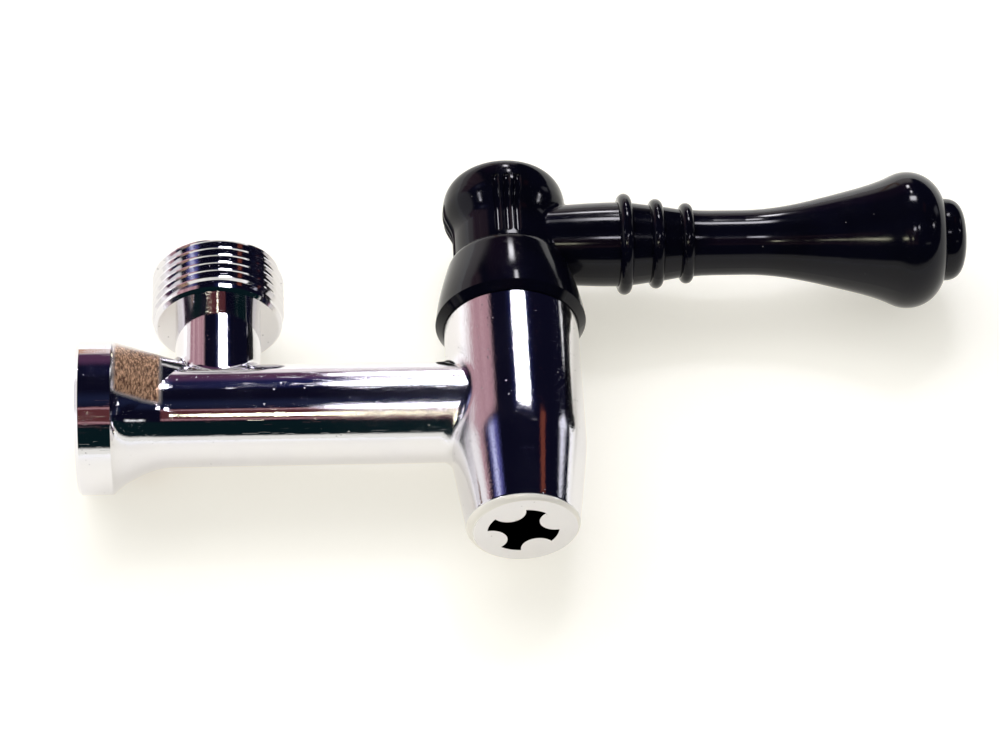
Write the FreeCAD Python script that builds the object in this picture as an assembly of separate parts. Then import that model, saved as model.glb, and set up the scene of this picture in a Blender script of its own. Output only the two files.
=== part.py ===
import FreeCAD, Part
import math
import os

# Samovar tap: a plated brass casting with a side gauge-glass branch, and a black lever handle
# whose skirt covers the top of the valve barrel. Sizes are in millimetres.
# The origin is the centre of the inlet collar's face. +X runs along the tube to the valve,
# +Z runs up the valve axis, and the spout points down.

# Inlet collar and tube
collar_radius = 11.5
collar_length = 5.2
collar_edge = 0.5
flare_length = 9.0
flare_middle_share = 0.38
flare_middle_rise = 1.5
flare_collar_slope = (-1.2, 1.0)
tube_radius = 7.6
tube_bore_radius = 4.5
inlet_thread_radius = 7.48
inlet_thread_depth = 7.5
inlet_drill_cone = 2.4

# Gauge-glass branch
branch_from_flare = 6.5
branch_stem_step = 1.15
branch_band_radius = 9.7
branch_band_length = 1.1
branch_thread_radius = 10.0
branch_thread_length = 8.4
branch_top = 25.9
branch_edge = 0.5
branch_web_step = 0.35
branch_web_lift = 0.3
branch_web_rise = 3.2
branch_web_radius = 4.0
branch_bore_radius = 3.0
gauge_socket_radius = 6.2
gauge_socket_depth = 7.5
branch_blend = 1.2

# Valve barrel and spout
valve_x = 65.2
barrel_step = 2.65
barrel_shoulder = 14.9
barrel_spigot_step = 0.45
barrel_spigot_length = 2.9
spout_start = -7.2
spout_bottom = -21.6
spout_taper = 1.95
spout_bend_reach = 1.8
spout_edge = 1.5
spout_face_tilt = 1.5
spout_bore_radius = 5.3
spout_rib_radius = 2.5
spout_rib_count = 4
spout_rib_angle = -26.0
spout_bore_top = -12.4
tube_blend = 2.2

# Valve chamber and seat
chamber_radius = 7.2
chamber_floor = -9.0
seat_bore_radius = 4.0
seat_land_radius = 5.4
seat_height = 0.6
seat_gap = 0.05

# Search distances for the edges to be rounded
edge_test_shares = (0.1, 0.5, 0.9)
close_by = 0.6
on_surface = 0.05
same_place = 0.01

# Cutting tools reach this far past the faces they open
overshoot = 1.0

# Clearances
thread_clearance = 0.03
shaft_clearance = 0.05
face_clearance = 0.05
skirt_clearance = 0.25
skirt_roof_gap = 0.35

# Headwork gland
gland_thread_radius = 7.47
gland_thread_rise = 0.6
gland_body_step = 0.47
gland_hex_hole_depth = 4.2
gland_gasket_thickness = 0.6
gland_gasket_radius = 8.4
gland_flange_radius = 8.5
gland_flange_thickness = 1.0
gland_hex_flats = 14.6
gland_hex_height = 2.2
gland_boss_radius = 5.8
gland_boss_height = 2.0
gland_thread_chamfer = 0.5

# Spindle
spindle_radius = 4.0
drum_radius = 5.6
drum_clearance = 0.15
drum_length = 5.8
quick_thread_radius = 3.0
quick_thread_clearance = 0.08
quick_bore_headroom = 0.4
thrust_washer_thickness = 0.5
seal_groove_depth = 1.0
seal_groove_width = 1.5
seal_ring_section = 0.52
seal_ring_drops = (4.6, 1.7)
thrust_face_drop = 6.85
square_flats = 5.6
square_clearance = 0.03
square_seat = 0.4
clip_thickness = 0.5
clip_outer_radius = 5.2
clip_groove_radius = 3.4
clip_gap_angle = 70.0
stop_pin_angle = -90.0
stop_pin_radius = 0.75
stop_pin_reach = 5.5
stop_pin_seat = 2.6
handle_travel_angle = 90.0
stop_slot_margin = 0.25

# Valve carrier, its washer and its fastening
valve_lift = 2.0
carrier_hex_flats = 8.8
carrier_hex_clearance = 0.1
carrier_disc_radius = 6.3
carrier_disc_thickness = 1.8
carrier_cup_depth = 0.7
stud_length = 6.6
seat_washer_radius = 5.5
seat_washer_thickness = 2.0
seat_washer_hole_radius = 1.6
retainer_radius = 3.0
retainer_thickness = 0.5
washer_screw_head_radius = 2.4
washer_screw_head_height = 1.2
washer_screw_radius = 1.5
washer_screw_length = 6.0
slot_width = 0.8
slot_depth = 0.6

# Handle hub and skirt, from the rim upwards, each height counted from the one before it
skirt_rim_overhang = 0.18
skirt_rim_gap = 0.2
skirt_edge_height = 1.2
skirt_overhang = 1.25
skirt_top_radius = 9.5
skirt_height = 9.3
shoulder_radius = 8.45
shoulder_rise = 1.7
neck_radius = 8.22
neck_length = 5.0
cap_radius = 9.6
cap_rise = 5.3
cap_top_radius = 6.4
cap_dome = 4.7
skirt_side_slope = (-0.1, 1.0)
shoulder_slope = (-1.0, 0.45)
cavity_gap = 0.5

# Handle lever, with distances from the valve axis
lever_share_of_neck = 0.82
lever_root_radius = 5.85
first_ring_at = 18.35
ring_steps = (0.0, 4.95, 9.65)
ring_radii = (7.87, 6.97, 6.27)
ring_feet = ((6.55, 6.45), (6.05, 5.8), (5.35, 5.2))
ring_half_width = 1.0
lever_blend = 0.9
grip_neck_radius = 5.05
grip_run_in = 4.0
grip_neck_length = 5.0
grip_neck_slope = (-0.1, 1.0)
grip_length = 25.7
grip_middle_share = 0.6
grip_middle_radius = 7.55
bulb_radius = 10.65
bulb_rounding = 5.65
bulb_start_angle = 116.5
bulb_end_angle = 17.0
button_radius = 6.4
button_length = 3.6
button_side = 0.5

# Flutes on the hub
flute_groups = (90.0, 180.0, 270.0)
flutes_in_group = 3
flute_pitch_angle = 10.0
flute_section = 0.75
flute_depth = 0.4
flute_rise = 1.4

# Handle insert, screw and screw cover
insert_radius = 5.2
insert_knurl_grooves = 3
insert_groove_depth = 0.35
insert_groove_width = 0.6
handle_web_thickness = 3.0
screw_radius = 2.0
screw_hole_radius = 2.25
screw_grip = 5.2
screw_head_gap = 1.0
screw_head_radius = 3.4
screw_head_height = 2.2
cross_slot_length = 4.8
cross_slot_depth = 1.2
spring_washer_radius = 3.6
spring_washer_thickness = 0.8
spring_washer_gap_angle = 20.0
screw_well_radius = 4.6
cover_radius = 5.5
cover_clearance = 0.05
cover_seat_depth = 1.4
cover_crown = 0.5
cover_spigot_depth = 0.9
cover_rim_slope = (-0.5, 1.0)

# Worked-out places
up = FreeCAD.Vector(0, 0, 1)
along = FreeCAD.Vector(1, 0, 0)
branch_x = collar_length + flare_length + branch_from_flare
branch_stem_radius = tube_radius - branch_stem_step
barrel_radius = tube_radius + barrel_step
barrel_spigot_radius = barrel_radius - barrel_spigot_step
spout_end_radius = barrel_radius - spout_taper
skirt_rim_radius = barrel_radius + skirt_rim_overhang
skirt_widest_radius = barrel_radius + skirt_overhang
gland_body_radius = gland_thread_radius - gland_body_step
branch_thread_bottom = branch_top - branch_thread_length
branch_band_bottom = branch_thread_bottom - branch_band_length
barrel_top = barrel_shoulder + barrel_spigot_length
seat_face = chamber_floor + seat_height
washer_bottom = seat_face + seat_gap
retainer_bottom = washer_bottom - retainer_thickness
washer_screw_top = retainer_bottom + washer_screw_length
washer_top = washer_bottom + seat_washer_thickness
disc_top = washer_top + carrier_disc_thickness
flange_bottom = barrel_top + gland_gasket_thickness
hex_bottom = flange_bottom + gland_flange_thickness
boss_bottom = hex_bottom + gland_hex_height
gland_top = boss_bottom + gland_boss_height
thrust_face = boss_bottom - thrust_face_drop
drum_top = thrust_face - thrust_washer_thickness - face_clearance
drum_bottom = drum_top - drum_length
gland_thread_start = drum_bottom + gland_thread_rise
gland_bottom = drum_bottom - gland_hex_hole_depth
carrier_hex_top = drum_bottom - valve_lift - quick_bore_headroom
clip_bottom = gland_top + face_clearance
clip_top = clip_bottom + clip_thickness
square_bottom = clip_top + face_clearance + square_seat
insert_bottom = square_bottom + square_seat
skirt_rim_height = barrel_shoulder + skirt_rim_gap
skirt_widest_height = skirt_rim_height + skirt_edge_height
skirt_top_height = skirt_widest_height + skirt_height
shoulder_height = skirt_top_height + shoulder_rise
neck_height = shoulder_height + neck_length
cap_widest_height = neck_height + cap_rise
cap_top_height = cap_widest_height + cap_dome
flute_bottom = shoulder_height + flute_rise
lever_height = shoulder_height + neck_length * lever_share_of_neck
ring_places = tuple(first_ring_at + step for step in ring_steps)
grip_neck_start = ring_places[-1] + grip_run_in
grip_neck_end = grip_neck_start + grip_neck_length
grip_middle_at = grip_neck_end + grip_length * grip_middle_share
bulb_centre_at = grip_neck_end + grip_length
cover_seat = cap_top_height - cover_seat_depth
cover_rim = cap_top_height - cover_crown / 2
screw_head_top = cover_seat - cover_spigot_depth - screw_head_gap
washer_seat_top = screw_head_top - screw_head_height
web_top = washer_seat_top - spring_washer_thickness
insert_top = web_top - handle_web_thickness
square_top = insert_top - square_seat
screw_tip = square_top - screw_grip


def point(radius, height):
    return FreeCAD.Vector(radius, 0, height)


def at_valve(shape):
    moved = shape.copy()
    moved.translate(FreeCAD.Vector(valve_x, 0, 0))
    return moved


def line(start, end):
    return Part.LineSegment(start, end).toShape()


def arc(start, middle, end):
    return Part.Arc(start, middle, end).toShape()


def curve(points, start_slope, end_slope):
    spline = Part.BSplineCurve()
    spline.interpolate(Points=points, InitialTangent=start_slope, FinalTangent=end_slope)
    return spline.toShape()


def turned(edges, axis=up):
    face = Part.Face(Part.Wire(edges))
    return face.revolve(FreeCAD.Vector(0, 0, 0), axis, 360)


def rod(radius, bottom, top):
    return Part.makeCylinder(radius, top - bottom, FreeCAD.Vector(0, 0, bottom), up)


def ring(outer, inner, bottom, top):
    return rod(outer, bottom, top).cut(rod(inner, bottom, top))


def prism(flats, sides, bottom, top):
    corner = flats / 2 / math.cos(math.pi / sides)
    corners = []
    for number in range(sides + 1):
        angle = 2 * math.pi * (number + 0.5) / sides
        corners.append(FreeCAD.Vector(corner * math.cos(angle), corner * math.sin(angle), bottom))
    return Part.Face(Part.makePolygon(corners)).extrude(FreeCAD.Vector(0, 0, top - bottom))


def sector(radius, bottom, top, start_angle, swept_angle):
    wedge = Part.makeCylinder(radius, top - bottom, FreeCAD.Vector(0, 0, bottom), up, swept_angle)
    wedge.rotate(FreeCAD.Vector(0, 0, 0), up, start_angle)
    return wedge


def joined(shapes):
    return shapes[0].multiFuse(shapes[1:]).removeSplitter()


def solid_of(shape):
    return shape.Solids[0]


def save(shape, name):
    shape.exportStep("parts/" + name + ".step")


def body_outside():
    flare_end = collar_length + flare_length
    flare_middle = collar_length + flare_length * flare_middle_share
    inner_end = valve_x
    tube = turned([
        line(point(0, 0), point(collar_radius - collar_edge, 0)),
        line(point(collar_radius - collar_edge, 0), point(collar_radius, collar_edge)),
        line(point(collar_radius, collar_edge), point(collar_radius, collar_length)),
        curve([point(collar_radius, collar_length), point(tube_radius + flare_middle_rise, flare_middle),
               point(tube_radius, flare_end)], point(*flare_collar_slope), up),
        line(point(tube_radius, flare_end), point(tube_radius, inner_end)),
        line(point(tube_radius, inner_end), point(0, inner_end)),
        line(point(0, inner_end), point(0, 0)),
    ])
    tube.rotate(FreeCAD.Vector(0, 0, 0), FreeCAD.Vector(0, 1, 0), 90)
    spout_slope = point(spout_taper, spout_start - spout_bottom)
    bend_share = spout_bend_reach / (spout_start - spout_bottom)
    bend_bottom = point(barrel_radius - spout_taper * bend_share, spout_start - spout_bend_reach)
    bend_top = point(barrel_radius, spout_start + spout_bend_reach)
    barrel = turned([
        line(point(0, spout_bottom), point(spout_end_radius, spout_bottom)),
        line(point(spout_end_radius, spout_bottom), bend_bottom),
        curve([bend_bottom, bend_top], spout_slope, up),
        line(bend_top, point(barrel_radius, barrel_shoulder)),
        line(point(barrel_radius, barrel_shoulder), point(0, barrel_shoulder)),
        line(point(0, barrel_shoulder), point(0, spout_bottom)),
    ])
    casting = tube.fuse(at_valve(barrel))
    casting = casting.makeFillet(tube_blend, meeting_edges(casting, tube_meets_barrel))
    stem = rod(branch_stem_radius, 0, branch_band_bottom)
    stem.translate(FreeCAD.Vector(branch_x, 0, 0))
    casting = casting.fuse(branch_web()).fuse(stem)
    return casting.makeFillet(branch_blend, meeting_edges(casting, stem_meets_tube))


def branch_web():
    at_collar = Part.makeCircle(collar_radius - branch_web_step,
                                FreeCAD.Vector(collar_length, 0, branch_web_lift), along)
    at_branch = Part.makeCircle(branch_web_radius, FreeCAD.Vector(branch_x, 0, branch_web_rise), along)
    return Part.makeLoft([Part.Wire(at_collar), Part.Wire(at_branch)], True, True)


def tube_meets_barrel(place):
    reach = math.hypot(place.x - valve_x, place.y)
    height = math.hypot(place.y, place.z)
    near_barrel = abs(reach - barrel_radius) < close_by
    return near_barrel and abs(height - tube_radius) < on_surface


def stem_meets_tube(place):
    reach = math.hypot(place.x - branch_x, place.y)
    height = math.hypot(place.y, place.z)
    return abs(reach - branch_stem_radius) < same_place and height < collar_radius and place.z > 0


def meeting_edges(shape, test):
    found = []
    for edge in shape.Edges:
        first, last = edge.ParameterRange
        places = [edge.valueAt(first + (last - first) * share) for share in edge_test_shares]
        if all(test(place) for place in places):
            found.append(edge)
    return found


def spout_end_edge(shape):
    found = []
    for edge in shape.Edges:
        places = [vertex.Point.z for vertex in edge.Vertexes]
        round_edge = isinstance(edge.Curve, Part.Circle)
        if round_edge and all(abs(height - spout_bottom) < same_place for height in places):
            found.append(edge)
    return found


def branch_end():
    band = branch_band_radius
    major = branch_thread_radius
    edge_top = branch_band_bottom + branch_edge
    full_thread = branch_thread_bottom + major - band
    end = turned([
        line(point(0, branch_band_bottom), point(band - branch_edge, branch_band_bottom)),
        line(point(band - branch_edge, branch_band_bottom), point(band, edge_top)),
        line(point(band, edge_top), point(band, branch_thread_bottom)),
        line(point(band, branch_thread_bottom), point(major, full_thread)),
        line(point(major, full_thread), point(major, branch_top - branch_edge)),
        line(point(major, branch_top - branch_edge), point(major - branch_edge, branch_top)),
        line(point(major - branch_edge, branch_top), point(0, branch_top)),
        line(point(0, branch_top), point(0, branch_band_bottom)),
    ])
    end.translate(FreeCAD.Vector(branch_x, 0, 0))
    return end


def ground_face():
    size = 4 * spout_end_radius
    block = Part.makeBox(size, size, size, FreeCAD.Vector(-size / 2, -size / 2, -size))
    block.rotate(FreeCAD.Vector(0, 0, 0), FreeCAD.Vector(0, 1, 0), -spout_face_tilt)
    rise = spout_end_radius * math.tan(math.radians(spout_face_tilt))
    block.translate(FreeCAD.Vector(valve_x, 0, spout_bottom + rise))
    return block


def outlet_bore():
    bore = rod(spout_bore_radius, spout_bottom - overshoot, spout_bore_top)
    for number in range(spout_rib_count):
        angle = math.radians(spout_rib_angle + 360 * number / spout_rib_count)
        rib = rod(spout_rib_radius, spout_bottom - overshoot, spout_bore_top)
        rib.translate(FreeCAD.Vector(math.cos(angle), math.sin(angle), 0) * spout_bore_radius)
        bore = bore.cut(rib)
    return at_valve(bore)


def body_inside():
    chamber = rod(chamber_radius, chamber_floor, gland_thread_start)
    land = ring(seat_land_radius, seat_bore_radius, chamber_floor, seat_face)
    chamber = chamber.cut(land)
    thread_bore = rod(gland_thread_radius + thread_clearance, gland_thread_start, barrel_top + overshoot)
    seat_bore = rod(seat_bore_radius, spout_bore_top, seat_face)
    cone_end = inlet_thread_depth + inlet_drill_cone
    inlet = turned([
        line(point(0, -overshoot), point(inlet_thread_radius, -overshoot)),
        line(point(inlet_thread_radius, -overshoot), point(inlet_thread_radius, inlet_thread_depth)),
        line(point(inlet_thread_radius, inlet_thread_depth), point(tube_bore_radius, cone_end)),
        line(point(tube_bore_radius, cone_end), point(tube_bore_radius, valve_x)),
        line(point(tube_bore_radius, valve_x), point(0, valve_x)),
        line(point(0, valve_x), point(0, -overshoot)),
    ])
    inlet.rotate(FreeCAD.Vector(0, 0, 0), FreeCAD.Vector(0, 1, 0), 90)
    passage = rod(branch_bore_radius, 0, branch_top)
    socket = rod(gauge_socket_radius, branch_top - gauge_socket_depth, branch_top + overshoot)
    gauge = passage.fuse(socket)
    gauge.translate(FreeCAD.Vector(branch_x, 0, 0))
    return [at_valve(chamber), at_valve(thread_bore), at_valve(seat_bore), inlet, gauge, outlet_bore()]


def make_body():
    casting = body_outside()
    casting = casting.makeFillet(spout_edge, spout_end_edge(casting))
    casting = casting.cut(ground_face())
    spigot = at_valve(rod(barrel_spigot_radius, barrel_shoulder, barrel_top))
    casting = joined([casting, branch_end(), spigot])
    for hollow in body_inside():
        casting = casting.cut(hollow)
    save(solid_of(casting), "tap_body")


def make_gland():
    full_thread = gland_thread_start + gland_thread_chamfer
    outside = turned([
        line(point(0, gland_bottom), point(gland_body_radius, gland_bottom)),
        line(point(gland_body_radius, gland_bottom), point(gland_body_radius, gland_thread_start)),
        line(point(gland_body_radius, gland_thread_start), point(gland_thread_radius, full_thread)),
        line(point(gland_thread_radius, full_thread), point(gland_thread_radius, flange_bottom)),
        line(point(gland_thread_radius, flange_bottom), point(gland_flange_radius, flange_bottom)),
        line(point(gland_flange_radius, flange_bottom), point(gland_flange_radius, hex_bottom)),
        line(point(gland_flange_radius, hex_bottom), point(gland_boss_radius, hex_bottom)),
        line(point(gland_boss_radius, hex_bottom), point(gland_boss_radius, gland_top)),
        line(point(gland_boss_radius, gland_top), point(0, gland_top)),
        line(point(0, gland_top), point(0, gland_bottom)),
    ])
    gland = outside.fuse(prism(gland_hex_flats, 6, hex_bottom, boss_bottom))
    hex_hole = prism(carrier_hex_flats + 2 * carrier_hex_clearance, 6, gland_bottom - overshoot, drum_bottom)
    gland = gland.cut(hex_hole)
    gland = gland.cut(rod(drum_radius + drum_clearance, drum_bottom - drum_clearance, thrust_face))
    gland = gland.cut(rod(spindle_radius + shaft_clearance, drum_bottom, gland_top + overshoot))
    margin = math.degrees((stop_pin_radius + stop_slot_margin) / spindle_radius)
    slot = sector(gland_boss_radius + overshoot, boss_bottom, gland_top + overshoot,
                  stop_pin_angle - margin, handle_travel_angle + 2 * margin)
    gland = gland.cut(slot)
    save(at_valve(solid_of(gland.removeSplitter())), "gland")


def make_gland_gasket():
    gasket = ring(gland_gasket_radius, gland_thread_radius + thread_clearance, barrel_top, flange_bottom)
    save(at_valve(gasket), "gland_gasket")


def make_spindle():
    outside = joined([
        rod(drum_radius, drum_bottom, drum_top),
        rod(spindle_radius, drum_top, square_bottom),
        prism(square_flats, 4, square_bottom, square_top),
    ])
    quick_bore_top = carrier_hex_top + stud_length + valve_lift + quick_bore_headroom
    quick_bore = rod(quick_thread_radius + quick_thread_clearance, drum_bottom - overshoot, quick_bore_top)
    spindle = outside.cut(quick_bore)
    groove_radius = spindle_radius - seal_groove_depth
    for drop in seal_ring_drops:
        height = boss_bottom - drop
        half = seal_groove_width / 2
        spindle = spindle.cut(ring(spindle_radius + overshoot, groove_radius, height - half, height + half))
    clip_groove = ring(spindle_radius + overshoot, clip_groove_radius, clip_bottom, clip_top)
    spindle = spindle.cut(clip_groove)
    spindle = spindle.cut(rod(screw_radius, screw_tip, square_top + overshoot))
    spindle = spindle.cut(stop_pin())
    save(at_valve(solid_of(spindle)), "spindle")


def stop_pin():
    height = (boss_bottom + gland_top) / 2
    pin = Part.makeCylinder(stop_pin_radius, stop_pin_reach - stop_pin_seat,
                            FreeCAD.Vector(stop_pin_seat, 0, height), along)
    pin.rotate(FreeCAD.Vector(0, 0, 0), up, stop_pin_angle)
    return pin


def make_spindle_fittings():
    save(at_valve(stop_pin()), "stop_pin")
    clip = ring(clip_outer_radius, clip_groove_radius, clip_bottom, clip_top)
    gap = sector(clip_outer_radius + overshoot, clip_bottom, clip_top, -clip_gap_angle / 2, clip_gap_angle)
    save(at_valve(clip.cut(gap)), "spindle_clip")
    washer = ring(drum_radius, spindle_radius + shaft_clearance, drum_top, drum_top + thrust_washer_thickness)
    save(at_valve(washer), "thrust_washer")
    names = ("lower_seal_ring", "upper_seal_ring")
    centre_radius = spindle_radius - seal_groove_depth + seal_ring_section
    for name, drop in zip(names, seal_ring_drops):
        seal = Part.makeTorus(centre_radius, seal_ring_section, FreeCAD.Vector(0, 0, boss_bottom - drop))
        save(at_valve(seal), name)


def make_valve_carrier():
    disc = rod(carrier_disc_radius, washer_top - carrier_cup_depth, disc_top)
    cup = rod(seat_washer_radius, washer_top - carrier_cup_depth, washer_top)
    carrier = joined([
        disc.cut(cup),
        prism(carrier_hex_flats, 6, disc_top, carrier_hex_top),
        rod(quick_thread_radius, carrier_hex_top, carrier_hex_top + stud_length),
    ])
    carrier = carrier.cut(rod(washer_screw_radius, washer_bottom, washer_screw_top))
    save(at_valve(solid_of(carrier)), "valve_carrier")


def make_seat_washer():
    rubber = ring(seat_washer_radius, seat_washer_hole_radius, washer_bottom, washer_top)
    save(at_valve(rubber), "seat_washer")
    retainer = ring(retainer_radius, washer_screw_radius + shaft_clearance, retainer_bottom, washer_bottom)
    save(at_valve(retainer), "washer_retainer")
    head_bottom = retainer_bottom - washer_screw_head_height
    head = rod(washer_screw_head_radius, head_bottom, retainer_bottom)
    slot = Part.makeBox(4 * washer_screw_head_radius, slot_width, slot_depth,
                        FreeCAD.Vector(-2 * washer_screw_head_radius, -slot_width / 2, head_bottom))
    screw = head.cut(slot).fuse(rod(washer_screw_radius, retainer_bottom, washer_screw_top))
    save(at_valve(solid_of(screw.removeSplitter())), "washer_screw")


def skirt_outside():
    return turned([
        line(point(0, skirt_rim_height), point(skirt_rim_radius, skirt_rim_height)),
        line(point(skirt_rim_radius, skirt_rim_height), point(skirt_widest_radius, skirt_widest_height)),
        curve([point(skirt_widest_radius, skirt_widest_height), point(skirt_top_radius, skirt_top_height),
               point(shoulder_radius, shoulder_height)],
              point(*skirt_side_slope), point(*shoulder_slope)),
        line(point(shoulder_radius, shoulder_height), point(0, shoulder_height)),
        line(point(0, shoulder_height), point(0, skirt_rim_height)),
    ])


def cap_outside():
    return turned([
        line(point(0, skirt_widest_height), point(neck_radius, skirt_widest_height)),
        line(point(neck_radius, skirt_widest_height), point(neck_radius, neck_height)),
        curve([point(neck_radius, neck_height), point(cap_radius, cap_widest_height)], up, up),
        curve([point(cap_radius, cap_widest_height), point(cap_top_radius, cap_top_height)], up, -along),
        line(point(cap_top_radius, cap_top_height), point(0, cap_top_height)),
        line(point(0, cap_top_height), point(0, skirt_widest_height)),
    ])


def lever_meets_neck(place):
    reach = math.hypot(place.x, place.y)
    on_hub = neck_radius - same_place < reach < cap_radius
    from_lever = math.hypot(place.y, place.z - lever_height)
    return place.x > 0 and on_hub and from_lever < lever_root_radius + close_by


def on_bulb(angle):
    turn = math.radians(angle)
    return point(bulb_radius - bulb_rounding + bulb_rounding * math.sin(turn),
                 bulb_centre_at + bulb_rounding * math.cos(turn))


def lever_outside():
    bulb_start = on_bulb(bulb_start_angle)
    bulb_end = on_bulb(bulb_end_angle)
    turn = math.radians(bulb_start_angle - 90)
    bulb_slope = point(math.sin(turn), math.cos(turn))
    button_rim = point(button_radius, bulb_end.z + button_side)
    edges = [line(point(0, 0), point(lever_root_radius, 0))]
    before = point(lever_root_radius, 0)
    for place, radius, feet in zip(ring_places, ring_radii, ring_feet):
        foot = point(feet[0], place - ring_half_width)
        after = point(feet[1], place + ring_half_width)
        if place == ring_places[0]:
            edges.append(curve([before, foot], up, up))
        else:
            edges.append(line(before, foot))
        edges.append(arc(foot, point(radius, place), after))
        before = after
    edges += [
        curve([before, point(grip_neck_radius, grip_neck_start)], point(*grip_neck_slope), up),
        line(point(grip_neck_radius, grip_neck_start), point(grip_neck_radius, grip_neck_end)),
        curve([point(grip_neck_radius, grip_neck_end), point(grip_middle_radius, grip_middle_at), bulb_start],
              up, bulb_slope),
        arc(bulb_start, on_bulb(90), bulb_end),
        line(bulb_end, point(button_radius, bulb_end.z)),
        line(point(button_radius, bulb_end.z), button_rim),
        curve([button_rim, point(0, bulb_end.z + button_length)], up, -along),
        line(point(0, bulb_end.z + button_length), point(0, 0)),
    ]
    lever = turned(edges)
    lever.rotate(FreeCAD.Vector(0, 0, 0), FreeCAD.Vector(0, 1, 0), 90)
    lever.translate(FreeCAD.Vector(0, 0, lever_height))
    return lever


def flute():
    sink = flute_section - flute_depth
    low = point(neck_radius + sink, flute_bottom)
    bend = point(neck_radius + sink, neck_height)
    high = point(cap_radius + sink, cap_widest_height)
    path = Part.Wire([line(low, bend), curve([bend, high], up, up)])
    circle = Part.Wire(Part.makeCircle(flute_section, low, up))
    groove = path.makePipeShell([circle], True, False)
    ends = [Part.makeSphere(flute_section, end) for end in (low, high)]
    return groove.multiFuse(ends)


def handle_hollows():
    spigot_room = barrel_spigot_radius + skirt_clearance
    return [
        rod(spigot_room, skirt_rim_height - overshoot, barrel_top + skirt_roof_gap),
        rod(gland_flange_radius + cavity_gap, barrel_top, boss_bottom + cavity_gap),
        rod(gland_boss_radius + cavity_gap, boss_bottom, insert_bottom),
        rod(insert_radius, boss_bottom, insert_top),
        rod(screw_hole_radius, insert_top, web_top),
        rod(screw_well_radius, web_top, cap_top_height),
        rod(cover_radius + cover_clearance, cover_seat, cap_top_height + overshoot),
    ]


def make_handle():
    handle = cap_outside().fuse(lever_outside())
    handle = handle.makeFillet(lever_blend, meeting_edges(handle, lever_meets_neck))
    handle = handle.fuse(skirt_outside())
    for group in flute_groups:
        for number in range(flutes_in_group):
            groove = flute()
            turn = group + (number - (flutes_in_group - 1) / 2) * flute_pitch_angle
            groove.rotate(FreeCAD.Vector(0, 0, 0), up, turn)
            handle = handle.cut(groove)
    for hollow in handle_hollows():
        handle = handle.cut(hollow)
    save(at_valve(solid_of(handle)), "handle")


def make_handle_fittings():
    insert = rod(insert_radius, insert_bottom, insert_top)
    insert = insert.cut(prism(square_flats + 2 * square_clearance, 4, insert_bottom, insert_top))
    spacing = (insert_top - insert_bottom) / (insert_knurl_grooves + 1)
    for number in range(insert_knurl_grooves):
        height = insert_bottom + spacing * (number + 1)
        groove = ring(insert_radius + overshoot, insert_radius - insert_groove_depth,
                      height - insert_groove_width / 2, height + insert_groove_width / 2)
        insert = insert.cut(groove)
    save(at_valve(insert), "handle_insert")
    washer = ring(spring_washer_radius, screw_hole_radius, web_top, washer_seat_top)
    gap = sector(spring_washer_radius + overshoot, web_top, washer_seat_top, 0, spring_washer_gap_angle)
    save(at_valve(washer.cut(gap)), "spring_washer")
    head = rod(screw_head_radius, washer_seat_top, screw_head_top)
    for turn in (0, 90):
        slot = Part.makeBox(cross_slot_length, slot_width, cross_slot_depth,
                            FreeCAD.Vector(-cross_slot_length / 2, -slot_width / 2,
                                           screw_head_top - cross_slot_depth))
        slot.rotate(FreeCAD.Vector(0, 0, 0), up, turn)
        head = head.cut(slot)
    screw = head.fuse(rod(screw_radius, screw_tip, washer_seat_top))
    save(at_valve(solid_of(screw.removeSplitter())), "handle_screw")


def make_screw_cover():
    crown = [
        line(point(0, cover_seat), point(cover_radius, cover_seat)),
        line(point(cover_radius, cover_seat), point(cover_radius, cover_rim)),
        curve([point(cover_radius, cover_rim), point(0, cap_top_height + cover_crown)],
              point(*cover_rim_slope), -along),
        line(point(0, cap_top_height + cover_crown), point(0, cover_seat)),
    ]
    cover = turned(crown)
    spigot = rod(screw_well_radius - cover_clearance, cover_seat - cover_spigot_depth, cover_seat)
    save(at_valve(solid_of(cover.fuse(spigot).removeSplitter())), "screw_cover")


os.makedirs("parts", exist_ok=True)
make_body()
make_gland()
make_gland_gasket()
make_spindle()
make_spindle_fittings()
make_valve_carrier()
make_seat_washer()
make_handle()
make_handle_fittings()
make_screw_cover()
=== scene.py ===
import math

import bmesh
import bpy
from mathutils import Matrix, Vector


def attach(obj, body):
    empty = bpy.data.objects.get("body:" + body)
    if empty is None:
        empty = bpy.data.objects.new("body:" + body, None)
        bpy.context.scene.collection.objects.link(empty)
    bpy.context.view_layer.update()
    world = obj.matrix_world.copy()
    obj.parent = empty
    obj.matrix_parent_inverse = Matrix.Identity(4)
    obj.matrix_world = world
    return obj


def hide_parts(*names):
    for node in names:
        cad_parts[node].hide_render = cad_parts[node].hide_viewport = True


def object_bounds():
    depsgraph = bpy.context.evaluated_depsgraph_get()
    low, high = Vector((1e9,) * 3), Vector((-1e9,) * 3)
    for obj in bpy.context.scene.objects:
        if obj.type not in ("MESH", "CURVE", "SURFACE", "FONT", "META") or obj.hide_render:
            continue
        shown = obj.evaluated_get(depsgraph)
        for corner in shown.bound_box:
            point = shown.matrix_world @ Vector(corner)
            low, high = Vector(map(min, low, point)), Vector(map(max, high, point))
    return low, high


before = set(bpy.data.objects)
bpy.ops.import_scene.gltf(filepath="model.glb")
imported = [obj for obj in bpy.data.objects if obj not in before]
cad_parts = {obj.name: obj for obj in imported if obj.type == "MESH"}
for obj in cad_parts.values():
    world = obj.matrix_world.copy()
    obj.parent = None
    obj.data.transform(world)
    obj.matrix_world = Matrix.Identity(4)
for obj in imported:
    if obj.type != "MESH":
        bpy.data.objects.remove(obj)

bl_info = {
    "name": "Samovar Tap",
    "version": (1, 0, 0),
    "blender": (4, 5, 0),
    "location": "3D View > Sidebar > Samovar Tap",
    "description": "Finishes a chromed samovar tap with a black lever handle",
    "category": "Object",
}

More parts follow.
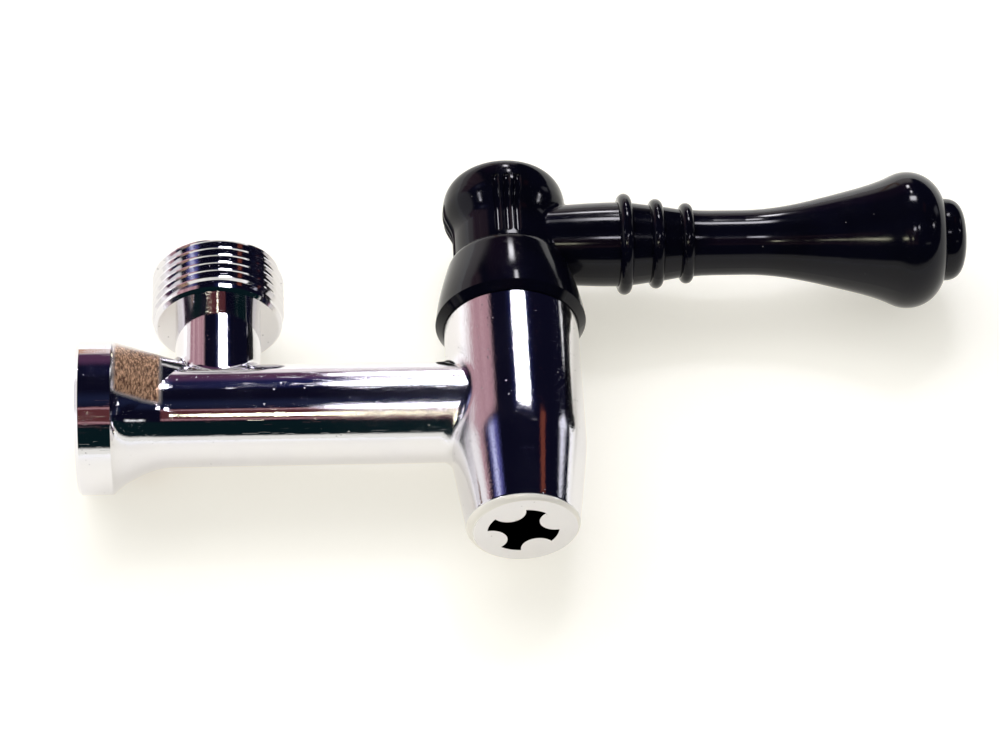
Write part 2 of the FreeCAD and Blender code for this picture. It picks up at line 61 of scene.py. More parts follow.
MM = 0.001
CAD_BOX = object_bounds()
BRANCH_X = 20.7 * MM
VALVE_X = 65.2 * MM
THREAD_BOTTOM = 17.5 * MM
BRANCH_TOP = 25.9 * MM
SOCKET_BOTTOM = 18.4 * MM
THREAD_ROOT = 9.12 * MM
THREAD_CREST = 10.0 * MM
CREST_MARGIN = 0.1 * MM
TURN_DOWN_START = 0.1 * MM
TOP_CHAMFER = 0.2 * MM
FULL_TURN = 2.0 * math.pi
SHARP_CORNER = math.radians(24.0)
THREAD_STEPS = 90
RING_PITCH = 0.18 * MM
TABLE_REACH = 3.0
TABLE_GAP = 0.1 * MM
ROOM_SEGMENTS = 48
ROOM_RINGS = 24
TAP_MIDDLE_X = 60.0 * MM

# Each lamp that only lights: its name, place, width and power
LAMPS = (
    ("high_lamp", (-0.15, -0.65, 0.5), 0.6, 3.0),
    ("left_lamp", (-0.5, -0.5, 0.25), 0.5, 1.5),
)


class Value:
    """One output of a node tree, which adds and multiplies like a number."""

    def __init__(self, tree, socket=None):
        self.tree = tree
        self.socket = socket

    def node(self, kind, settings=None, inputs=None, output=0):
        """Any other node: its settings first, then the values or links of its sockets."""
        made = self.tree.nodes.new(kind)
        for name, setting in (settings or {}).items():
            setattr(made, name, setting)
        for name, value in (inputs or {}).items():
            socket = made.inputs[name]
            if isinstance(value, Value):
                self.tree.links.new(value.socket, socket)
            else:
                socket.default_value = value
        return Value(self.tree, None if output is None else made.outputs[output])

    def out(self, name):
        return Value(self.tree, self.socket.node.outputs[name])

    def maths(self, operation, first, second=None):
        given = {0: first} if second is None else {0: first, 1: second}
        return self.node("ShaderNodeMath", {"operation": operation}, given)

    def __add__(self, other):
        return self.maths("ADD", self, other)

    def __radd__(self, other):
        return self.maths("ADD", other, self)

    def __sub__(self, other):
        return self.maths("SUBTRACT", self, other)

    def __rsub__(self, other):
        return self.maths("SUBTRACT", other, self)

    def __mul__(self, other):
        return self.maths("MULTIPLY", self, other)

    def __rmul__(self, other):
        return self.maths("MULTIPLY", other, self)

    def __truediv__(self, other):
        return self.maths("DIVIDE", self, other)

    def least(self, other):
        return self.maths("MINIMUM", self, other)

    def most(self, other):
        return self.maths("MAXIMUM", self, other)

    def rises(self, start, end):
        """0 below start and 1 above end, smooth between them."""
        span = {"Value": self, "From Min": start, "From Max": end, "To Min": 0.0, "To Max": 1.0}
        return self.node("ShaderNodeMapRange", {"interpolation_type": "SMOOTHSTEP"}, span)

    def falls(self, start, end):
        """1 below start and 0 above end."""
        return 1.0 - self.rises(start, end)

    def within(self, low, high, edge):
        """1 between low and high, with soft edges."""
        return self.rises(low - edge, low + edge) * self.falls(high - edge, high + edge)

    def mixed(self, first, second):
        """A colour: first where this is 0, second where it is 1."""
        colours = {0: self, 6: first, 7: second}
        return self.node("ShaderNodeMix", {"data_type": "RGBA"}, colours, 2)


def rgb(red, green, blue):
    return (red, green, blue, 1.0)


class Finish:
    """A material with its object coordinates at hand."""

    def __init__(self, name):
        self.material = bpy.data.materials.new(name)
        self.material.use_nodes = True
        self.tree = self.material.node_tree
        self.shader = self.tree.nodes["Principled BSDF"]
        self.root = Value(self.tree)
        self.place = self.root.node("ShaderNodeTexCoord").out("Object")
        split = self.root.node("ShaderNodeSeparateXYZ", None, {"Vector": self.place})
        self.x, self.y, self.z = split.out("X"), split.out("Y"), split.out("Z")
        normal = self.root.node("ShaderNodeNewGeometry").out("Normal")
        self.facing_z = self.root.node("ShaderNodeSeparateXYZ", None, {"Vector": normal}).out("Z")

    def noise(self, size, detail=3.0, roughness=0.5, stretch=(1.0, 1.0, 1.0), turn=(0.0, 0.0, 0.0)):
        """Noise whose blobs are about size metres across."""
        place = self.root.node("ShaderNodeMapping", None,
                               {"Vector": self.place, "Rotation": turn, "Scale": stretch})
        return self.root.node("ShaderNodeTexNoise", None, {
            "Vector": place, "Scale": 1.0 / size, "Detail": detail, "Roughness": roughness})

    def specks(self, size):
        """Distance to the nearest of points that lie about size metres apart."""
        return self.root.node("ShaderNodeTexVoronoi", None,
                              {"Vector": self.place, "Scale": 1.0 / size})

    def radius_about(self, x, y=0.0):
        across = self.x - x
        along = self.y - y
        return self.root.maths("SQRT", across * across + along * along)

    def bump(self, *heights):
        """Bumps laid on each other, each a height and its depth in metres."""
        normal = None
        for height, depth in heights:
            inputs = {"Height": height, "Distance": depth, "Strength": 1.0}
            if normal is not None:
                inputs["Normal"] = normal
            normal = self.root.node("ShaderNodeBump", None, inputs)
        self.tree.links.new(normal.socket, self.shader.inputs["Normal"])

    def set(self, **values):
        """Set or link the shader's sockets by name, such as base_color."""
        for name, value in values.items():
            socket = self.shader.inputs[name.replace("_", " ").title().replace("Ior", "IOR")]
            if isinstance(value, Value):
                self.tree.links.new(value.socket, socket)
            else:
                socket.default_value = value


def plated_chrome(look):
    """Bright plating over a polished casting, with satin, ground and rough cast places."""
    finish = Finish("plated_chrome")
    peel = finish.noise(1.6 * MM, 2.0, 0.4)
    polish = finish.noise(0.22 * MM, 2.0, 0.6)
    pits = finish.specks(1.1 * MM).falls(0.05, 0.13) * finish.noise(6.0 * MM).rises(0.5, 0.6)
    scratches = finish.noise(0.25 * MM, 1.0, 0.5, (0.06, 1.0, 1.0), (0.0, 0.5, 0.7))
    scratches = scratches.rises(0.66, 0.7)
    on_flare = finish.x.within(5.6 * MM, 12.4 * MM, 0.5 * MM) * finish.z.rises(-3.2 * MM, -2.2 * MM)
    on_flare = on_flare * finish.z.falls(6.0 * MM, 9.5 * MM)
    satin = finish.x.within(38.0 * MM, 60.0 * MM, 5.0 * MM)
    satin = satin * finish.facing_z.within(-0.75, 0.5, 0.15)
    satin = satin * finish.radius_about(VALVE_X).rises(9.0 * MM, 10.5 * MM)
    strokes = finish.noise(0.3 * MM, 3.0, 0.65, (1.0, 1.0, 0.3), (0.0, 0.6, 0.0))
    # Painted shade: the spout's bore is painted near black in place of the shade inside it.
    painted_bore_shade = finish.radius_about(VALVE_X).falls(5.3 * MM, 5.4 * MM)
    painted_bore_shade = painted_bore_shade * finish.z.falls(-12.0 * MM, -11.5 * MM) * finish.facing_z.rises(-0.9, -0.8)
    cast = finish.noise(0.28 * MM, 3.0, 0.7, (1.0, 1.0, 0.3), (0.0, 0.3, 0.0))
    ground = finish.facing_z.falls(-0.99, -0.96) * finish.z.falls(-20.4 * MM, -20.2 * MM)
    lip = finish.facing_z.within(-0.97, -0.30, 0.08) * finish.z.falls(-20.2 * MM, -19.9 * MM)
    rough = look.chrome_roughness + 0.05 * finish.noise(9.0 * MM).rises(0.35, 0.75)
    rough = rough + 0.05 * scratches + 0.22 * on_flare * cast.rises(0.4, 0.6)
    rough = rough + 0.3 * (ground + lip) + 0.16 * satin * strokes
    around_valve = finish.radius_about(VALVE_X).falls(11.0 * MM, 12.0 * MM)
    grain = around_valve * finish.noise(0.32 * MM, 2.0, 0.65)
    tint = finish.noise(14.0 * MM).rises(0.3, 0.7)
    colour = tint.mixed(rgb(*look.chrome_colour), rgb(0.80, 0.79, 0.83))
    worn = cast.rises(0.36, 0.58).mixed(rgb(0.10, 0.05, 0.04), rgb(0.52, 0.31, 0.19))
    colour = on_flare.mixed(colour, worn)
    colour = (pits * 0.7).mixed(colour, rgb(0.2, 0.17, 0.16))
    colour = lip.mixed(colour, rgb(0.80, 0.77, 0.70))
    # The bore's painted shade goes on last, over every other colour.
    colour = painted_bore_shade.mixed(colour, rgb(0.004, 0.004, 0.004))
    finish.set(base_color=colour, metallic=1.0 - 0.6 * on_flare - 0.85 * lip, roughness=rough)
    finish.bump((peel, 0.006 * MM), (polish, 0.003 * MM), (pits, -0.03 * MM),
                (scratches, -0.002 * MM), (on_flare * cast, 0.05 * MM),
                (satin * strokes, 0.03 * MM), (grain, 0.009 * MM))
    return finish.material


def gloss_plastic(look):
    """Black moulded plastic with a hard gloss and a faint unevenness."""
    finish = Finish("gloss_black_plastic")
    wave = finish.noise(7.0 * MM, 1.0, 0.4)
    peel = finish.noise(0.8 * MM, 2.0, 0.5)
    wiped = finish.noise(0.22 * MM, 1.0, 0.5, (0.05, 1.0, 1.0), (0.3, 0.2, 0.4))
    wiped = wiped.rises(0.68, 0.73)
    dust = finish.specks(1.9 * MM).falls(0.03, 0.06) * finish.noise(5.0 * MM).rises(0.55, 0.65)
    colour = wave.rises(0.3, 0.7).mixed(rgb(*look.plastic_colour), rgb(0.002, 0.002, 0.006))
    colour = (dust * 0.5).mixed(colour, rgb(0.35, 0.33, 0.32))
    rough = look.plastic_roughness + 0.05 * finish.noise(4.0 * MM).rises(0.4, 0.7)
    rough = rough + 0.12 * wiped + 0.2 * dust
    finish.set(base_color=colour, metallic=0.0, roughness=rough, ior=1.30)
    finish.bump((wave, 0.012 * MM), (peel, 0.0012 * MM), (dust, 0.01 * MM))
    return finish.material


def turned_metal(name, colour, stained, roughness, axis_x):
    """Metal from the lathe, with fine rings round the valve's axis and a little staining."""
    finish = Finish(name)
    reach = finish.radius_about(axis_x) + finish.z
    rings = finish.root.maths("SINE", reach * (FULL_TURN / RING_PITCH))
    stain = finish.noise(2.5 * MM, 4.0, 0.6).rises(0.45, 0.75)
    finish.set(base_color=(stain * 0.6).mixed(rgb(*colour), rgb(*stained)), metallic=1.0,
               roughness=roughness + 0.15 * stain + 0.04 * rings)
    finish.bump((rings, 0.004 * MM), (finish.noise(0.4 * MM), 0.003 * MM))
    return finish.material


def soft_seal(name, colour, worn):
    """Matt rubber or fibre with a fine grain and paler rubbed places."""
    finish = Finish(name)
    grain = finish.noise(0.12 * MM, 3.0, 0.7)
    rubbed = finish.noise(1.8 * MM, 2.0, 0.5).rises(0.5, 0.75)
    finish.set(base_color=(rubbed * 0.7).mixed(rgb(*colour), rgb(*worn)),
               roughness=0.62 + 0.2 * grain)
    finish.bump((grain, 0.012 * MM))
    return finish.material


THREAD_SIZES = ("Base", "Crest", "Pitch", "Length", "Fade", "Tilt", "Place X", "Place Z")
# Half the width of a tooth's root and crest, as shares of the pitch
ROOT_SHARE = 0.47
CREST_SHARE = 0.08


def screw_thread(material):
    """A helical tooth from Base to Crest that fades at its ends, on a tilted axis."""
    tree = bpy.data.node_groups.new("screw_thread", "GeometryNodeTree")
    tree.interface.new_socket("Geometry", in_out="INPUT", socket_type="NodeSocketGeometry")
    tree.interface.new_socket("Geometry", in_out="OUTPUT", socket_type="NodeSocketGeometry")
    for name in THREAD_SIZES:
        tree.interface.new_socket(name, in_out="INPUT", socket_type="NodeSocketFloat")
    root = Value(tree)
    given = root.node("NodeGroupInput")
    base, crest, pitch, length, fade, tilt, place_x, place_z = (
        given.out(name) for name in THREAD_SIZES)
    spiral = root.node("GeometryNodeCurveSpiral", None, {
        "Resolution": THREAD_STEPS, "Rotations": length / pitch, "Start Radius": base,
        "End Radius": base, "Height": length, "Reverse": True})
    turned = root.node("GeometryNodeSetCurveNormal", {"mode": "Z_UP"}, {"Curve": spiral})
    height = crest - base
    corners = {}
    outline = ((0.0, -ROOT_SHARE), (height, -CREST_SHARE), (height, CREST_SHARE), (0.0, ROOT_SHARE))
    for number, (out, share) in enumerate(outline, 1):
        corners["Point %d" % number] = root.node("ShaderNodeCombineXYZ", None,
                                                 {"X": out, "Y": pitch * share})
    tooth = root.node("GeometryNodeCurvePrimitiveQuadrilateral", {"mode": "POINTS"}, corners)
    swept = root.node("GeometryNodeCurveToMesh", None,
                      {"Curve": turned, "Profile Curve": tooth, "Fill Caps": True})
    place = root.node("GeometryNodeInputPosition")
    split = root.node("ShaderNodeSeparateXYZ", None, {"Vector": place})
    x, y, z = split.out("X"), split.out("Y"), split.out("Z")
    radius = root.maths("SQRT", x * x + y * y)
    full = (z / fade).least((length - z) / fade).most(0.0).least(1.0)
    scale = (base + (radius - base) * full) / radius
    x, y, z = x * scale, y * scale, z.most(0.0).least(length)
    cosine, sine = root.maths("COSINE", tilt), root.maths("SINE", tilt)
    laid = root.node("ShaderNodeCombineXYZ", None, {
        "X": x * cosine + z * sine + place_x, "Y": y, "Z": z * cosine - x * sine + place_z})
    moved = root.node("GeometryNodeSetPosition", None, {"Geometry": swept, "Position": laid})
    real = root.node("GeometryNodeRealizeInstances", None, {"Geometry": moved})
    dressed = root.node("GeometryNodeSetMaterial", None,
                        {"Geometry": real, "Material": material})
    root.node("NodeGroupOutput", None, {"Geometry": dressed}, None)
    return tree


def grown(name, group, sizes, body):
    """A piece made by a Geometry Nodes group from its sizes, as a plain mesh."""
    made = bpy.data.objects.new(name, bpy.data.meshes.new(name))
    bpy.context.scene.collection.objects.link(made)
    modifier = made.modifiers.new(name, "NODES")
    modifier.node_group = group
    for item in group.interface.items_tree:
        if item.name in sizes:
            modifier[item.identifier] = sizes[item.name]
    shape = made.evaluated_get(bpy.context.evaluated_depsgraph_get())
    mesh = bpy.data.meshes.new_from_object(shape)
    mesh.shade_smooth()
    mesh.set_sharp_from_angle(angle=SHARP_CORNER)
    made.modifiers.remove(modifier)
    made.data = mesh
    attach(made, body)
    return made


def dress(node, material):
    """Put one material on a CAD node."""
    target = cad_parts[node]
    if not target.material_slots:
        target.data.materials.append(material)
    for place in target.material_slots:
        place.material = material


class TapLook(bpy.types.PropertyGroup):
    chrome_colour: bpy.props.FloatVectorProperty(
        name="Chrome", description="Colour of the plating", default=(0.83, 0.82, 0.84),
        subtype="COLOR")
    chrome_roughness: bpy.props.FloatProperty(
        name="Chrome roughness", description="How much the plating blurs what it mirrors",
        default=0.045, subtype="FACTOR")
    plastic_colour: bpy.props.FloatVectorProperty(
        name="Plastic", description="Colour of the handle", default=(0.0015, 0.0015, 0.004),
        subtype="COLOR")
    plastic_roughness: bpy.props.FloatProperty(
        name="Plastic roughness", description="How much the handle blurs what it mirrors",
        default=0.09, subtype="FACTOR")


class StageLook(bpy.types.PropertyGroup):
    focal_length: bpy.props.FloatProperty(
        name="Focal length", description="Camera lens in millimetres", default=123.74)
    azimuth: bpy.props.FloatProperty(
        name="Azimuth", description="Camera's angle round the tap", default=math.radians(-4.181),
        subtype="ANGLE")
    elevation: bpy.props.FloatProperty(
        name="Elevation", description="Camera's angle above the tube",
        default=math.radians(-35.843), subtype="ANGLE")
    roll: bpy.props.FloatProperty(
        name="Roll", description="Camera's turn about its own line of sight",
        default=math.radians(-3.411), subtype="ANGLE")
    distance: bpy.props.FloatProperty(
        name="Distance", description="From the camera to the point that it aims at",
        default=0.51935, unit="LENGTH")
    aim: bpy.props.FloatVectorProperty(
        name="Aim", description="Point on the tap that the camera is placed from",
        default=(0.06, 0.0, 0.008), unit="LENGTH")
    aim_right: bpy.props.FloatProperty(
        name="Aim right", description="How far right of the picture's centre the aim lies",
        default=-0.003161, unit="LENGTH")
    aim_up: bpy.props.FloatProperty(
        name="Aim up", description="How far above the picture's centre the aim lies",
        default=0.001003, unit="LENGTH")
    # Painted shade: the table near the tap gets this darker, warmer colour than further out.
    shaded_floor_colour: bpy.props.FloatVectorProperty(
        name="Floor", description="Colour of the table near the tap", default=(0.56, 0.555, 0.53),
        subtype="COLOR")
    # The table's glow lightens the tap's shadows; near the tap this glow is darker and beige, as
    # painted shade.
    shaded_floor_glow: bpy.props.FloatVectorProperty(
        name="Floor glow", description="Light that the table gives where the tap shades it",
        default=(0.50, 0.48, 0.42), subtype="COLOR")
    room_colour: bpy.props.FloatVectorProperty(
        name="Room", description="Colour of the dark room that the chrome mirrors",
        default=(0.004, 0.004, 0.013), subtype="COLOR")
    lamp_strength: bpy.props.FloatProperty(
        name="Lamp strength", description="Brightness of the lamps that the tap mirrors",
        default=26.0)
    tent_radius: bpy.props.FloatProperty(
        name="Tent radius", description="Distance of the mirrored room", default=0.9,
        unit="LENGTH")


class TAP_OT_casting(bpy.types.Operator):
    """Plate the cast body and cut its threads"""
    bl_idname = "tap.casting"
    bl_label = "Casting"

    def execute(self, context):
        chrome = plated_chrome(context.scene.tap_look)
        dress("tap_body", chrome)
        self.casting()
        self.threads(chrome)
        return {"FINISHED"}

    def casting(self):
        """The cast body, with the branch's head turned down to the root of its thread."""
        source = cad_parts["tap_body"]
        mesh = source.data.copy()
        for vertex in mesh.vertices:
            across, along = vertex.co.x - BRANCH_X, vertex.co.y
            radius = math.hypot(across, along)
            on_head = THREAD_ROOT < radius < THREAD_CREST + CREST_MARGIN
            if on_head and vertex.co.z > THREAD_BOTTOM + TURN_DOWN_START:
                root = THREAD_ROOT
                if vertex.co.z >= BRANCH_TOP - TOP_CHAMFER:
                    root = THREAD_ROOT - TOP_CHAMFER
                vertex.co.x = BRANCH_X + across * root / radius
                vertex.co.y = along * root / radius
        piece = bpy.data.objects.new("tap_casting", mesh)
        bpy.context.scene.collection.objects.link(piece)
        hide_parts("tap_body")
        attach(piece, "body")

    def threads(self, chrome):
        """The outside thread of the branch, then the inside threads of its socket and the inlet."""
        group = screw_thread(chrome)
        grown("gauge_thread", group, {
            "Base": 9.05 * MM, "Crest": THREAD_CREST, "Pitch": 1.4 * MM, "Length": 8.36 * MM,
            "Fade": 0.25 * MM, "Tilt": 0.0, "Place X": BRANCH_X,
            "Place Z": THREAD_BOTTOM + 0.02 * MM}, "body")
        grown("socket_thread", group, {
            "Base": 6.25 * MM, "Crest": 5.75 * MM, "Pitch": 1.0 * MM, "Length": 6.6 * MM,
            "Fade": 0.5 * MM, "Tilt": 0.0, "Place X": BRANCH_X,
            "Place Z": SOCKET_BOTTOM + 0.4 * MM}, "body")
        grown("inlet_thread", group, {
            "Base": 7.54 * MM, "Crest": 6.95 * MM, "Pitch": 1.3 * MM, "Length": 7.3 * MM,
            "Fade": 0.6 * MM, "Tilt": math.pi / 2, "Place X": 0.1 * MM,
            "Place Z": 0.0}, "body")


class TAP_OT_handle(bpy.types.Operator):
    """Finish the black handle and the cover over its screw"""
    bl_idname = "tap.handle"
    bl_label = "Handle"

    def execute(self, context):
        plastic = gloss_plastic(context.scene.tap_look)
        for node in ("handle", "screw_cover"):
            dress(node, plastic)
        return {"FINISHED"}


class TAP_OT_headwork(bpy.types.Operator):
    """Finish the gland, spindle, valve, seals and fastenings"""
    bl_idname = "tap.headwork"
    bl_label = "Headwork"

    def execute(self, context):
        brass = turned_metal("turned_brass", (0.78, 0.58, 0.28), (0.42, 0.26, 0.12), 0.2, VALVE_X)
        steel = turned_metal("turned_steel", (0.60, 0.60, 0.62), (0.36, 0.34, 0.32), 0.24, VALVE_X)
        rubber = soft_seal("black_rubber", (0.018, 0.018, 0.019), (0.05, 0.05, 0.048))
        fibre = soft_seal("red_fibre", (0.36, 0.12, 0.07), (0.48, 0.22, 0.14))
        finishes = {
            brass: ("gland", "spindle", "valve_carrier", "washer_retainer", "washer_screw",
                    "handle_insert"),
            steel: ("stop_pin", "spindle_clip", "spring_washer", "handle_screw"),
            rubber: ("lower_seal_ring", "upper_seal_ring", "seat_washer"),
            fibre: ("gland_gasket", "thrust_washer"),
        }
        for material, nodes in finishes.items():
            for node in nodes:
                dress(node, material)
        return {"FINISHED"}


def emission(name):
    """A material without its usual shader, the root of its tree and its output."""
    material = bpy.data.materials.new(name)
    material.use_nodes = True
    tree = material.node_tree
    tree.nodes.remove(tree.nodes["Principled BSDF"])
    return material, Value(tree), tree.nodes["Material Output"]


# Each lamp in the mirrored room: its left and right ends across, its top and bottom turns in
# degrees, how soft its ends are, and its share of blue
ROOM_LAMPS = (
    (0.09, 0.33, -42.0, -34.0, 0.04, 1.06),
    (0.09, 0.17, -69.0, -62.0, 0.02, 1.04),
    (0.16, 0.22, -54.0, -49.0, 0.015, 1.04),
    (0.10, 0.20, 15.5, 20.0, 0.02, 1.10),
    (0.34, 0.40, 13.0, 17.0, 0.02, 1.10),
    (0.0, 0.05, 31.5, 34.5, 0.01, 0.72),
    (-0.44, -0.22, 31.5, 34.5, 0.05, 0.72),
    (-0.71, -0.66, -2.0, 3.0, 0.01, 1.08),
    (0.89, 0.92, -10.0, -4.0, 0.006, 1.05),
)


def room_paint(look):
    """What the tap mirrors: a dark room, bright at the left, with mauve and brown walls and lamps.

    turn is the height of a direction, in degrees: -90 straight up, 0 level, 90 straight down.
    across is how far it leans to the right, from -1 to 1.
    """
    material, root, output = emission("mirrored_room")
    place = root.node("ShaderNodeTexCoord").out("Object")
    aim = root.node("ShaderNodeVectorMath", {"operation": "NORMALIZE"}, {0: place})
    split = root.node("ShaderNodeSeparateXYZ", None, {"Vector": aim})
    across, out, up = split.out("X"), split.out("Y"), split.out("Z")
    turn = root.maths("ARCTAN2", up * -1.0, out * -1.0) * (180.0 / math.pi)
    colour = turn.within(0.0, 16.0, 8.0).mixed(rgb(*look.room_colour), rgb(0.010, 0.014, 0.040))
    colour = turn.rises(44.0, 49.0).mixed(colour, rgb(0.003, 0.011, 0.014))
    middle = across.within(-0.34, 0.30, 0.03)
    colour = (turn.within(19.0, 44.0, 1.5) * middle).mixed(colour, rgb(0.105, 0.030, 0.034))
    lines = turn.within(19.5, 22.0, 0.8) + turn.within(40.5, 43.5, 0.9)
    colour = (lines * middle).mixed(colour, rgb(0.40, 0.21, 0.23))
    high = turn.falls(-62.0, -46.0) * across.within(-0.30, 0.25, 0.08)
    colour = high.mixed(colour, rgb(0.09, 0.035, 0.08))
    veil = root.node("ShaderNodeTexNoise", {"noise_dimensions": "1D"},
                     {"W": across * 30.0, "Scale": 1.0})
    mauve = veil.rises(0.42, 0.58).mixed(rgb(0.40, 0.21, 0.25), rgb(0.62, 0.40, 0.43))
    colour = (turn.falls(-42.0, -34.0) * across.falls(-0.50, -0.40)).mixed(colour, mauve)
    violet = across.within(-0.74, -0.50, 0.07) * turn.within(-31.0, -19.0, 5.0)
    colour = violet.mixed(colour, rgb(0.12, 0.12, 0.38))
    core = across.within(-0.68, -0.60, 0.05) * turn.within(-31.0, -19.0, 5.0)
    colour = core.mixed(colour, rgb(0.68, 0.70, 1.0))
    rust = across.within(0.57, 0.66, 0.012) * turn.within(-36.0, -16.0, 3.0)
    colour = rust.mixed(colour, rgb(0.17, 0.045, 0.03))
    right_gleam = across.within(0.86, 0.92, 0.012) * turn.within(-75.0, -48.0, 4.0)
    colour = right_gleam.mixed(colour, rgb(0.9, 0.9, 1.0))
    high_left = turn.falls(-78.0, -72.0) * across.falls(-0.60, -0.30)
    colour = high_left.mixed(colour, rgb(1.0, 0.93, 0.93))
    ceiling = turn.falls(-80.0, -73.0) * across.falls(0.25, 0.34)
    colour = ceiling.mixed(colour, rgb(1.0, 0.92, 0.92))
    colour = turn.rises(78.0, 83.0).mixed(colour, rgb(0.93, 0.92, 0.86))
    colour = across.falls(-0.90, -0.84).mixed(colour, rgb(0.95, 0.92, 0.92))
    tan = across.within(-0.09, -0.055, 0.003) * turn.within(-96.0, -77.0, 2.0)
    colour = tan.mixed(colour, rgb(0.55, 0.26, 0.12))
    low_gleam = across.within(0.66, 0.84, 0.03) * turn.within(41.0, 44.5, 1.0)
    colour = low_gleam.mixed(colour, rgb(1.0, 1.0, 1.0))
    glow = across.within(0.0, 0.40, 0.10) * turn.within(-58.0, -31.0, 6.0)
    light = glow.mixed(rgb(0.0, 0.0, 0.0), rgb(0.012, 0.016, 0.08))
    for left, right, top, bottom, edge, blueness in ROOM_LAMPS:
        lamp = across.within(left, right, edge) * turn.within(top, bottom, 1.0)
        white = rgb(*(look.lamp_strength * share for share in (1.0, 0.98, blueness)))
        light = lamp.mixed(light, white)
    total = root.node("ShaderNodeMix", {"data_type": "RGBA", "blend_type": "ADD"},
                      {0: 1.0, 6: colour, 7: light}, 2)
    shine = root.node("ShaderNodeEmission", None, {"Color": total, "Strength": 1.0})
    root.tree.links.new(shine.socket, output.inputs["Surface"])
    return material


def floor_paint(look):
    """A pale table that shows only from the side that the tap lies on."""
    material = bpy.data.materials.new("pale_table")
    material.use_nodes = True
    tree = material.node_tree
    root = Value(tree)
    shader = tree.nodes["Principled BSDF"]
    place = root.node("ShaderNodeTexCoord").out("Object")
    split = root.node("ShaderNodeSeparateXYZ", None, {"Vector": place})
    across, up = split.out("X") - TAP_MIDDLE_X, split.out("Z")
    spread = root.maths("SQRT", across * across + up * up)
    grain = root.node("ShaderNodeTexNoise", None, {"Vector": place, "Scale": 30.0, "Detail": 3.0})
    # Painted shade: a darker, warmer pool on the table round the tap, fading out between 5 and 24
    # cm from its middle.
    far = (spread + 0.02 * grain).rises(0.05, 0.24)
    colour = far.mixed(rgb(*look.shaded_floor_colour), rgb(0.60, 0.60, 0.60))
    tree.links.new(colour.socket, shader.inputs["Base Color"])
    own = far.mixed(rgb(*look.shaded_floor_glow), rgb(0.56, 0.56, 0.555))
    tree.links.new(own.socket, shader.inputs["Emission Color"])
    shader.inputs["Emission Strength"].default_value = 1.0
    shader.inputs["Roughness"].default_value = 0.45
    behind = root.node("ShaderNodeNewGeometry").out("Backfacing")
    clear = root.node("ShaderNodeBsdfTransparent")
    front = Value(tree, shader.outputs[0])
    mixed = root.node("ShaderNodeMixShader", None, {0: behind, 1: front, 2: clear})
    tree.links.new(mixed.socket, tree.nodes["Material Output"].inputs["Surface"])
    return material


def sheet_of(name, corners, material):
    """A flat face between the corners."""
    mesh = bpy.data.meshes.new(name)
    mesh.from_pydata(corners, [], [tuple(range(len(corners)))])
    mesh.materials.append(material)
    made = bpy.data.objects.new(name, mesh)
    bpy.context.scene.collection.objects.link(made)
    return made


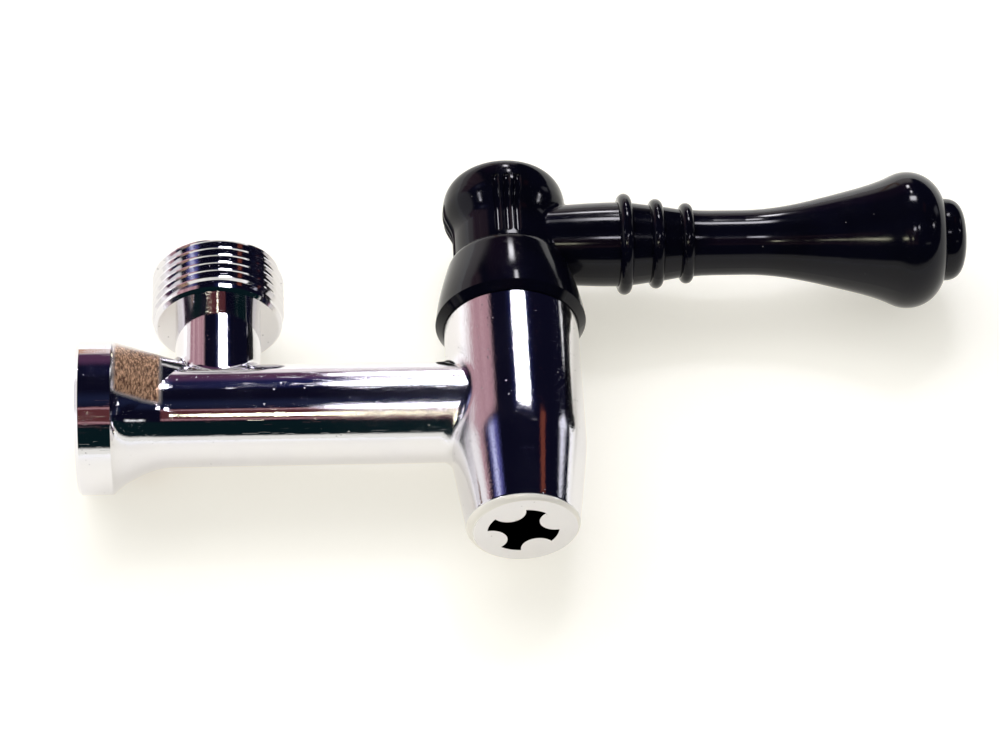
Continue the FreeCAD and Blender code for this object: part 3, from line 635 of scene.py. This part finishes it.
class TAP_OT_stage(bpy.types.Operator):
    """Set the camera, the pale table, the mirrored room and the lamps"""
    bl_idname = "tap.stage"
    bl_label = "Stage"

    def execute(self, context):
        look = context.scene.tap_stage
        self.camera(context, look)
        self.table(look)
        self.room(look)
        self.lamps(context)
        self.world(context)
        context.scene.view_settings.view_transform = "Standard"
        return {"FINISHED"}

    def camera(self, context, look):
        sideways, lift = look.azimuth, look.elevation
        level = math.cos(lift)
        back = Vector((math.sin(sideways) * level, -math.cos(sideways) * level, math.sin(lift)))
        ahead = -back
        right = ahead.cross(Vector((0, 0, 1))).normalized()
        above = right.cross(ahead)
        across = math.cos(look.roll) * right + math.sin(look.roll) * above
        upward = math.cos(look.roll) * above - math.sin(look.roll) * right
        lens = bpy.data.cameras.new("camera")
        lens.lens = look.focal_length
        lens.clip_start = 0.01
        lens.clip_end = 20.0
        made = bpy.data.objects.new("camera", lens)
        context.scene.collection.objects.link(made)
        turn = Matrix((across, upward, back)).transposed()
        eye = Vector(look.aim) - look.aim_right * across - look.aim_up * upward
        eye = eye + look.distance * back
        made.matrix_world = Matrix.Translation(eye) @ turn.to_4x4()
        context.scene.camera = made

    def table(self, look):
        behind = CAD_BOX[1].y + TABLE_GAP
        ends = ((-1, -1), (1, -1), (1, 1), (-1, 1))
        corners = [(TABLE_REACH * side, behind, TABLE_REACH * height) for side, height in ends]
        table = sheet_of("table", corners, floor_paint(look))

    def room(self, look):
        shape = bmesh.new()
        bmesh.ops.create_uvsphere(shape, u_segments=ROOM_SEGMENTS, v_segments=ROOM_RINGS,
                                  radius=look.tent_radius)
        beyond = [face for face in shape.faces if face.calc_center_median().y > 0.0]
        bmesh.ops.delete(shape, geom=beyond, context="FACES")
        mesh = bpy.data.meshes.new("room")
        shape.to_mesh(mesh)
        shape.free()
        mesh.materials.append(room_paint(look))
        room = bpy.data.objects.new("room", mesh)
        bpy.context.scene.collection.objects.link(room)
        room.visible_camera = False
        room.visible_diffuse = False
        room.visible_shadow = False
        room.visible_transmission = False

    def lamps(self, context):
        for name, place, size, power in LAMPS:
            light = bpy.data.lights.new(name, "AREA")
            light.size = size
            light.energy = power
            made = bpy.data.objects.new(name, light)
            context.scene.collection.objects.link(made)
            made.location = place
            towards = Vector((TAP_MIDDLE_X, 0, 0)) - Vector(place)
            made.rotation_euler = towards.to_track_quat("-Z", "Y").to_euler()
            made.visible_glossy = False

    def world(self, context):
        world = bpy.data.worlds.new("studio")
        context.scene.world = world
        world.use_nodes = True
        root = Value(world.node_tree)
        paths = root.node("ShaderNodeLightPath")
        shown = root.maths("MAXIMUM", paths.out("Is Camera Ray"), paths.out("Is Glossy Ray"))
        shown = root.maths("MAXIMUM", shown, paths.out("Is Transmission Ray"))
        background = world.node_tree.nodes["Background"]
        colour = shown.mixed(rgb(0.70, 0.70, 0.70), rgb(1.0, 1.0, 1.0))
        world.node_tree.links.new(colour.socket, background.inputs["Color"])


class TAP_PT_sidebar(bpy.types.Panel):
    """Lists the steps that finish the tap"""
    bl_idname = "TAP_PT_sidebar"
    bl_label = "Samovar Tap"
    bl_space_type = "VIEW_3D"
    bl_region_type = "UI"
    bl_category = "Samovar Tap"

    def draw(self, context):
        for group in (context.scene.tap_look, context.scene.tap_stage):
            for name in group.__annotations__:
                self.layout.prop(group, name)
        for step in STEPS:
            self.layout.operator(step.bl_idname)


STEPS = (TAP_OT_stage, TAP_OT_casting, TAP_OT_handle, TAP_OT_headwork)
CLASSES = (TapLook, StageLook) + STEPS + (TAP_PT_sidebar,)


def register():
    for made in CLASSES:
        bpy.utils.register_class(made)
    bpy.types.Scene.tap_look = bpy.props.PointerProperty(type=TapLook)
    bpy.types.Scene.tap_stage = bpy.props.PointerProperty(type=StageLook)


def unregister():
    del bpy.types.Scene.tap_stage
    del bpy.types.Scene.tap_look
    for made in reversed(CLASSES):
        bpy.utils.unregister_class(made)


def main():
    register()
    for step in STEPS:
        group, name = step.bl_idname.split(".")
        getattr(getattr(bpy.ops, group), name)()


if __name__ == "__main__":
    main()
